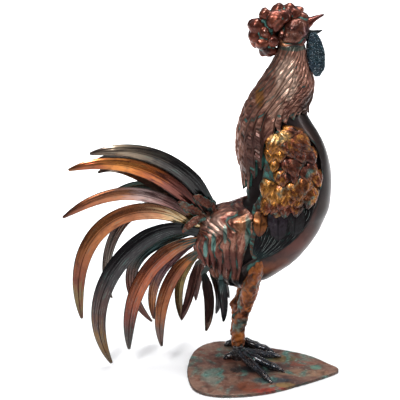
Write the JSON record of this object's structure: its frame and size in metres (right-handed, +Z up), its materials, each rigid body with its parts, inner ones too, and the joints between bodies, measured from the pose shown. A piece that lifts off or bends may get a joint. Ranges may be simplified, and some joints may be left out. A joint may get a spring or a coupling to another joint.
{
  "type": "copper rooster statue",
  "caption": "Crowing rooster of formed and patinated sheet copper with long curved tail feathers, standing on a flat leaf-shaped plate.",
  "frame": {"origin": "on the plate's underside, at the middle of the plate's length and in the rooster's own middle plane", "axes": "+Z up, +X the way the rooster faces, +Y the rooster's left side"},
  "size_m": [0.4524, 0.2085, 0.6],
  "materials": {
    "base_plate": "patinated copper",
    "body": "patinated copper",
    "breast_plate": "patinated copper",
    "comb": "patinated copper",
    "hackle": "patinated copper",
    "head": "patinated copper",
    "tail_broad_sickle": "patinated copper",
    "foot": "patinated copper",
    "tail_great_sickle": "patinated copper",
    "leg": "patinated copper",
    "tail_long_upper_sickle": "patinated copper",
    "tail_leaf": "patinated copper",
    "tail_lower_sickle": "patinated copper",
    "tail_middle_sickle": "patinated copper",
    "tail_rump_hanger": "patinated copper",
    "tail_side_hanger": "patinated copper",
    "tail_small_hanger": "patinated copper",
    "tail_upper_sickle": "patinated copper",
    "tail_vent_hanger": "patinated copper",
    "wattle": "patinated copper",
    "wing": "patinated copper",
    "lower_beak": "patinated copper",
    "saddle": "patinated copper",
    "upper_beak": "patinated copper"
  },
  "bodies": {
    "root": {"base_plate": "base_plate", "body": "body", "breast_plate": "breast_plate", "comb": "comb", "hackle": "hackle", "head": "head", "left_broad_sickle": "tail_broad_sickle", "left_foot": "foot", "left_great_sickle": "tail_great_sickle", "left_leg": "leg", "left_long_upper_sickle": "tail_long_upper_sickle", "left_lower_leaf": "tail_leaf", "left_lower_sickle": "tail_lower_sickle", "left_middle_leaf": "tail_leaf", "left_middle_sickle": "tail_middle_sickle", "left_rump_hanger": "tail_rump_hanger", "left_side_hanger": "tail_side_hanger", "left_small_hanger": "tail_small_hanger", "left_upper_leaf": "tail_leaf", "left_upper_sickle": "tail_upper_sickle", "left_vent_hanger": "tail_vent_hanger", "left_wattle": "wattle", "left_wing": "wing", "lower_beak": "lower_beak", "right_broad_sickle": "tail_broad_sickle", "right_foot": "foot", "right_great_sickle": "tail_great_sickle", "right_leg": "leg", "right_long_upper_sickle": "tail_long_upper_sickle", "right_lower_leaf": "tail_leaf", "right_lower_sickle": "tail_lower_sickle", "right_middle_leaf": "tail_leaf", "right_middle_sickle": "tail_middle_sickle", "right_rump_hanger": "tail_rump_hanger", "right_side_hanger": "tail_side_hanger", "right_small_hanger": "tail_small_hanger", "right_upper_leaf": "tail_leaf", "right_upper_sickle": "tail_upper_sickle", "right_vent_hanger": "tail_vent_hanger", "right_wattle": "wattle", "right_wing": "wing", "saddle": "saddle", "upper_beak": "upper_beak"}
  },
  "joints": []
}
